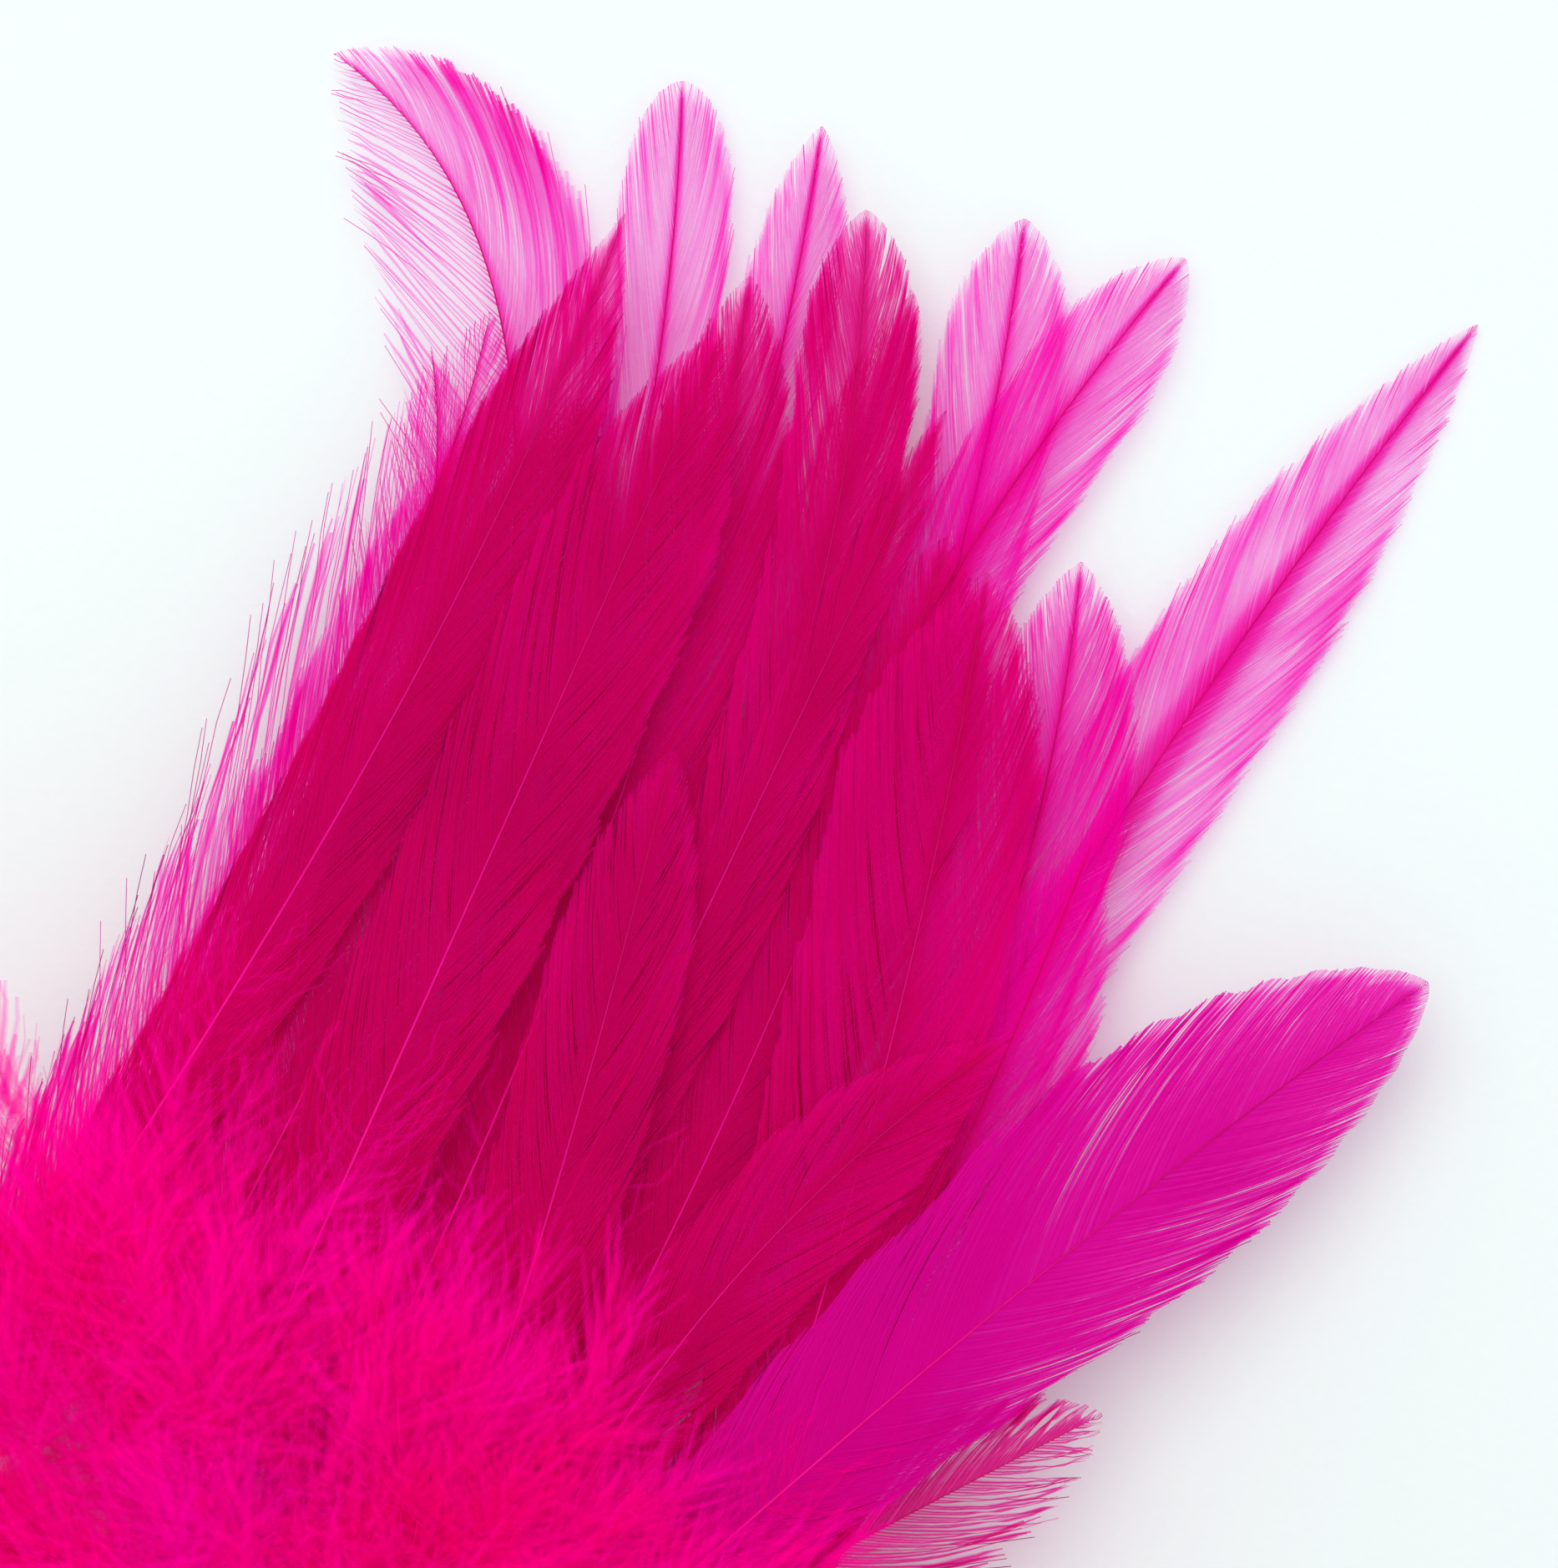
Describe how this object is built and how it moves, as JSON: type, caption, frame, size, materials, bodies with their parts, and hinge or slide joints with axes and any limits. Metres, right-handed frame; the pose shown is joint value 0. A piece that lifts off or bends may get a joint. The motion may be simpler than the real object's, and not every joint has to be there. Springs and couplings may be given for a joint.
{
  "type": "feather boa",
  "caption": "Fluffy dyed feather boa: a core cord in sleeves of down, ending at both ends in a fan of long hackle feathers; worn draped as a costume scarf.",
  "frame": {"origin": "on the table, under the middle of the footprint of the lying boa", "axes": "+Z up from the table; +Y up and +X right as the near tuft is looked down on"},
  "size_m": [0.735, 0.7562, 0.064],
  "materials": {
    "cord": "twisted dyed cotton, matt",
    "thread": "waxed whipping thread, satin",
    "tape": "woven cotton tape, matt",
    "body_down": "dyed fluffy down, matt",
    "tuft_down": "dyed fluffy down, matt",
    "hackle": "dyed translucent feather vane, satin sheen"
  },
  "bodies": {
    "segment_01": {"core_cord_01": "cord", "down_sleeve_01": "body_down", "quill_tape_near_low": "tape", "quill_tape_near_mid": "tape", "quill_tape_near_top": "tape", "end_knot_near": "cord", "whipping_near": "thread", "down_puff_near": "tuft_down"},
    "segment_02": {"core_cord_02": "cord", "down_sleeve_02": "body_down"},
    "segment_03": {"core_cord_03": "cord", "down_sleeve_03": "body_down"},
    "segment_04": {"core_cord_04": "cord", "down_sleeve_04": "body_down"},
    "segment_05": {"core_cord_05": "cord", "down_sleeve_05": "body_down"},
    "segment_06": {"core_cord_06": "cord", "down_sleeve_06": "body_down"},
    "segment_07": {"core_cord_07": "cord", "down_sleeve_07": "body_down"},
    "segment_08": {"core_cord_08": "cord", "down_sleeve_08": "body_down", "quill_tape_far": "tape", "end_knot_far": "cord", "whipping_far": "thread", "down_puff_far": "tuft_down"},
    "hackle_near_01": {"hackle_near_01": "hackle"},
    "hackle_near_02": {"hackle_near_02": "hackle"},
    "hackle_near_03": {"hackle_near_03": "hackle"},
    "hackle_near_04": {"hackle_near_04": "hackle"},
    "hackle_near_05": {"hackle_near_05": "hackle"},
    "hackle_near_06": {"hackle_near_06": "hackle"},
    "hackle_near_07": {"hackle_near_07": "hackle"},
    "hackle_near_08": {"hackle_near_08": "hackle"},
    "hackle_near_09": {"hackle_near_09": "hackle"},
    "hackle_near_10": {"hackle_near_10": "hackle"},
    "hackle_near_11": {"hackle_near_11": "hackle"},
    "hackle_near_12": {"hackle_near_12": "hackle"},
    "hackle_near_13": {"hackle_near_13": "hackle"},
    "hackle_near_14": {"hackle_near_14": "hackle"},
    "hackle_near_15": {"hackle_near_15": "hackle"},
    "hackle_near_16": {"hackle_near_16": "hackle"},
    "hackle_near_17": {"hackle_near_17": "hackle"},
    "hackle_near_18": {"hackle_near_18": "hackle"},
    "hackle_near_19": {"hackle_near_19": "hackle"},
    "hackle_near_20": {"hackle_near_20": "hackle"},
    "hackle_near_21": {"hackle_near_21": "hackle"},
    "hackle_near_22": {"hackle_near_22": "hackle"},
    "hackle_near_23": {"hackle_near_23": "hackle"},
    "hackle_near_24": {"hackle_near_24": "hackle"},
    "hackle_near_25": {"hackle_near_25": "hackle"},
    "hackle_far_01": {"hackle_far_01": "hackle"},
    "hackle_far_02": {"hackle_far_02": "hackle"},
    "hackle_far_03": {"hackle_far_03": "hackle"},
    "hackle_far_04": {"hackle_far_04": "hackle"},
    "hackle_far_05": {"hackle_far_05": "hackle"},
    "hackle_far_06": {"hackle_far_06": "hackle"},
    "hackle_far_07": {"hackle_far_07": "hackle"},
    "hackle_far_08": {"hackle_far_08": "hackle"}
  },
  "joints": [
    {"name": "core_bend_01", "type": "hinge", "parent": "segment_01", "child": "segment_02", "pos_m": [-0.30616, 0.12162, 0.032], "axis": [0, 0, -1], "range_deg": [-10, 45]},
    {"name": "core_bend_02", "type": "hinge", "parent": "segment_02", "child": "segment_03", "pos_m": [-0.33001, -0.00108, 0.032], "axis": [0, 0, -1], "range_deg": [-10, 45]},
    {"name": "core_bend_03", "type": "hinge", "parent": "segment_03", "child": "segment_04", "pos_m": [-0.30745, -0.12403, 0.032], "axis": [0, 0, -1], "range_deg": [-10, 45]},
    {"name": "core_bend_04", "type": "hinge", "parent": "segment_04", "child": "segment_05", "pos_m": [-0.24158, -0.23026, 0.032], "axis": [0, 0, -1], "range_deg": [-10, 45]},
    {"name": "core_bend_05", "type": "hinge", "parent": "segment_05", "child": "segment_06", "pos_m": [-0.14148, -0.30514, 0.032], "axis": [0, 0, -1], "range_deg": [-10, 45]},
    {"name": "core_bend_06", "type": "hinge", "parent": "segment_06", "child": "segment_07", "pos_m": [-0.02097, -0.33833, 0.032], "axis": [0, 0, -1], "range_deg": [-10, 45]},
    {"name": "core_bend_07", "type": "hinge", "parent": "segment_07", "child": "segment_08", "pos_m": [0.10334, -0.32527, 0.032], "axis": [0, 0, -1], "range_deg": [-10, 45]},
    {"name": "splay_near_01", "type": "hinge", "parent": "segment_01", "child": "hackle_near_01", "pos_m": [-0.27213, 0.24803, 0.01609], "axis": [0.0243, 0.0383, 0.999], "range_deg": [-6, 6]},
    {"name": "splay_near_02", "type": "hinge", "parent": "segment_01", "child": "hackle_near_02", "pos_m": [-0.27136, 0.24738, 0.01329], "axis": [0.0243, 0.0383, 0.999], "range_deg": [-6, 6]},
    {"name": "splay_near_03", "type": "hinge", "parent": "segment_01", "child": "hackle_near_03", "pos_m": [-0.26948, 0.24661, 0.02099], "axis": [0.0243, 0.0383, 0.999], "range_deg": [-5.7, 5.7]},
    {"name": "splay_near_04", "type": "hinge", "parent": "segment_01", "child": "hackle_near_04", "pos_m": [-0.26627, 0.2442, 0.01399], "axis": [0.0243, 0.0383, 0.999], "range_deg": [-5.1, 5.1]},
    {"name": "splay_near_05", "type": "hinge", "parent": "segment_01", "child": "hackle_near_05", "pos_m": [-0.25771, 0.23903, 0.01889], "axis": [0.0243, 0.0383, 0.999], "range_deg": [-3.5, 3.5]},
    {"name": "splay_near_06", "type": "hinge", "parent": "segment_01", "child": "hackle_near_06", "pos_m": [-0.25455, 0.23653, 0.0098], "axis": [0.0243, 0.0383, 0.999], "range_deg": [-2.9, 2.9]},
    {"name": "splay_near_07", "type": "hinge", "parent": "segment_01", "child": "hackle_near_07", "pos_m": [-0.24832, 0.23329, 0.02309], "axis": [0.0243, 0.0383, 0.999], "range_deg": [-1.8, 1.8]},
    {"name": "splay_near_08", "type": "hinge", "parent": "segment_01", "child": "hackle_near_08", "pos_m": [-0.24782, 0.23222, 0.0091], "axis": [0.0243, 0.0383, 0.999], "range_deg": [-1.7, 1.7]},
    {"name": "splay_near_09", "type": "hinge", "parent": "segment_01", "child": "hackle_near_09", "pos_m": [-0.2444, 0.23013, 0.0105], "axis": [0.0243, 0.0383, 0.999], "range_deg": [-1.1, 1.1]},
    {"name": "splay_near_10", "type": "hinge", "parent": "segment_01", "child": "hackle_near_10", "pos_m": [-0.24249, 0.22941, 0.01959], "axis": [0.0243, 0.0383, 0.999], "range_deg": [-0.8, 0.8]},
    {"name": "splay_near_11", "type": "hinge", "parent": "segment_01", "child": "hackle_near_11", "pos_m": [-0.24087, 0.22823, 0.01679], "axis": [0.0243, 0.0383, 0.999], "range_deg": [-0.5, 0.5]},
    {"name": "splay_near_12", "type": "hinge", "parent": "segment_01", "child": "hackle_near_12", "pos_m": [-0.2376, 0.22592, 0.0126], "axis": [0.0243, 0.0383, 0.999], "range_deg": [-0.5, 0.5]},
    {"name": "splay_near_13", "type": "hinge", "parent": "segment_01", "child": "hackle_near_13", "pos_m": [-0.235, 0.22443, 0.01539], "axis": [0.0243, 0.0383, 0.999], "range_deg": [-0.9, 0.9]},
    {"name": "splay_near_14", "type": "hinge", "parent": "segment_01", "child": "hackle_near_14", "pos_m": [-0.23319, 0.22354, 0.02029], "axis": [0.0243, 0.0383, 0.999], "range_deg": [-1.2, 1.2]},
    {"name": "splay_near_15", "type": "hinge", "parent": "segment_01", "child": "hackle_near_15", "pos_m": [-0.22919, 0.22051, 0.0112], "axis": [0.0243, 0.0383, 0.999], "range_deg": [-2, 2]},
    {"name": "splay_near_16", "type": "hinge", "parent": "segment_01", "child": "hackle_near_16", "pos_m": [-0.22804, 0.22046, 0.02378], "axis": [0.0243, 0.0383, 0.999], "range_deg": [-2.1, 2.1]},
    {"name": "splay_near_17", "type": "hinge", "parent": "segment_01", "child": "hackle_near_17", "pos_m": [-0.22649, 0.21917, 0.01819], "axis": [0.0243, 0.0383, 0.999], "range_deg": [-2.5, 2.5]},
    {"name": "splay_near_18", "type": "hinge", "parent": "segment_01", "child": "hackle_near_18", "pos_m": [-0.22495, 0.21786, 0.0119], "axis": [0.0243, 0.0383, 0.999], "range_deg": [-2.8, 2.8]},
    {"name": "splay_near_19", "type": "hinge", "parent": "segment_01", "child": "hackle_near_19", "pos_m": [-0.22302, 0.21716, 0.02169], "axis": [0.0243, 0.0383, 0.999], "range_deg": [-3.1, 3.1]},
    {"name": "splay_near_20", "type": "hinge", "parent": "segment_01", "child": "hackle_near_20", "pos_m": [-0.22211, 0.21674, 0.02448], "axis": [0.0243, 0.0383, 0.999], "range_deg": [-3.2, 3.2]},
    {"name": "splay_near_21", "type": "hinge", "parent": "segment_01", "child": "hackle_near_21", "pos_m": [-0.22125, 0.21623, 0.02518], "axis": [0.0243, 0.0383, 0.999], "range_deg": [-3.4, 3.4]},
    {"name": "splay_near_22", "type": "hinge", "parent": "segment_01", "child": "hackle_near_22", "pos_m": [-0.21406, 0.21076, 0.0084], "axis": [0.0243, 0.0383, 0.999], "range_deg": [-4.8, 4.8]},
    {"name": "splay_near_23", "type": "hinge", "parent": "segment_01", "child": "hackle_near_23", "pos_m": [-0.20877, 0.20789, 0.01749], "axis": [0.0243, 0.0383, 0.999], "range_deg": [-5.7, 5.7]},
    {"name": "splay_near_24", "type": "hinge", "parent": "segment_01", "child": "hackle_near_24", "pos_m": [-0.20715, 0.20672, 0.01469], "axis": [0.0243, 0.0383, 0.999], "range_deg": [-6, 6]},
    {"name": "splay_near_25", "type": "hinge", "parent": "segment_01", "child": "hackle_near_25", "pos_m": [-0.20528, 0.20594, 0.02238], "axis": [0.0243, 0.0383, 0.999], "range_deg": [-6.3, 6.3]},
    {"name": "splay_far_01", "type": "hinge", "parent": "segment_08", "child": "hackle_far_01", "pos_m": [0.20115, -0.24303, 0.0203], "axis": [0.1159, 0.0601, 0.9914], "range_deg": [-6, 6]},
    {"name": "splay_far_02", "type": "hinge", "parent": "segment_08", "child": "hackle_far_02", "pos_m": [0.20507, -0.25001, 0.02238], "axis": [0.1159, 0.0601, 0.9914], "range_deg": [-4.4, 4.4]},
    {"name": "splay_far_03", "type": "hinge", "parent": "segment_08", "child": "hackle_far_03", "pos_m": [0.209, -0.25699, 0.02446], "axis": [0.1159, 0.0601, 0.9914], "range_deg": [-2.7, 2.7]},
    {"name": "splay_far_04", "type": "hinge", "parent": "segment_08", "child": "hackle_far_04", "pos_m": [0.21227, -0.2643, 0.02099], "axis": [0.1159, 0.0601, 0.9914], "range_deg": [-1, 1]},
    {"name": "splay_far_05", "type": "hinge", "parent": "segment_08", "child": "hackle_far_05", "pos_m": [0.2162, -0.27127, 0.02307], "axis": [0.1159, 0.0601, 0.9914], "range_deg": [-1, 1]},
    {"name": "splay_far_06", "type": "hinge", "parent": "segment_08", "child": "hackle_far_06", "pos_m": [0.22012, -0.27825, 0.02515], "axis": [0.1159, 0.0601, 0.9914], "range_deg": [-2.7, 2.7]},
    {"name": "splay_far_07", "type": "hinge", "parent": "segment_08", "child": "hackle_far_07", "pos_m": [0.2234, -0.28556, 0.02168], "axis": [0.1159, 0.0601, 0.9914], "range_deg": [-4.4, 4.4]},
    {"name": "splay_far_08", "type": "hinge", "parent": "segment_08", "child": "hackle_far_08", "pos_m": [0.22733, -0.29254, 0.02377], "axis": [0.1159, 0.0601, 0.9914], "range_deg": [-6.1, 6.1]}
  ],
  "couplings": [
    {"joint": "splay_near_02", "follows": "splay_near_01", "ratio": 0.9744},
    {"joint": "splay_near_03", "follows": "splay_near_01", "ratio": 0.9231},
    {"joint": "splay_near_04", "follows": "splay_near_01", "ratio": 0.8205},
    {"joint": "splay_near_05", "follows": "splay_near_01", "ratio": 0.5641},
    {"joint": "splay_near_06", "follows": "splay_near_01", "ratio": 0.4615},
    {"joint": "splay_near_07", "follows": "splay_near_01", "ratio": 0.2821},
    {"joint": "splay_near_08", "follows": "splay_near_01", "ratio": 0.2564},
    {"joint": "splay_near_09", "follows": "splay_near_01", "ratio": 0.1538},
    {"joint": "splay_near_10", "follows": "splay_near_01", "ratio": 0.1026},
    {"joint": "splay_near_11", "follows": "splay_near_01", "ratio": 0.0513},
    {"joint": "splay_near_12", "follows": "splay_near_01", "ratio": -0.0513},
    {"joint": "splay_near_13", "follows": "splay_near_01", "ratio": -0.1282},
    {"joint": "splay_near_14", "follows": "splay_near_01", "ratio": -0.1795},
    {"joint": "splay_near_15", "follows": "splay_near_01", "ratio": -0.3077},
    {"joint": "splay_near_16", "follows": "splay_near_01", "ratio": -0.3333},
    {"joint": "splay_near_17", "follows": "splay_near_01", "ratio": -0.3846},
    {"joint": "splay_near_18", "follows": "splay_near_01", "ratio": -0.4359},
    {"joint": "splay_near_19", "follows": "splay_near_01", "ratio": -0.4872},
    {"joint": "splay_near_20", "follows": "splay_near_01", "ratio": -0.5128},
    {"joint": "splay_near_21", "follows": "splay_near_01", "ratio": -0.5385},
    {"joint": "splay_near_22", "follows": "splay_near_01", "ratio": -0.7692},
    {"joint": "splay_near_23", "follows": "splay_near_01", "ratio": -0.9231},
    {"joint": "splay_near_24", "follows": "splay_near_01", "ratio": -0.9744},
    {"joint": "splay_near_25", "follows": "splay_near_01", "ratio": -1.0256},
    {"joint": "splay_far_02", "follows": "splay_far_01", "ratio": 0.7143},
    {"joint": "splay_far_03", "follows": "splay_far_01", "ratio": 0.4286},
    {"joint": "splay_far_04", "follows": "splay_far_01", "ratio": 0.1429},
    {"joint": "splay_far_05", "follows": "splay_far_01", "ratio": -0.1429},
    {"joint": "splay_far_06", "follows": "splay_far_01", "ratio": -0.4286},
    {"joint": "splay_far_07", "follows": "splay_far_01", "ratio": -0.7143},
    {"joint": "splay_far_08", "follows": "splay_far_01", "ratio": -1}
  ]
}
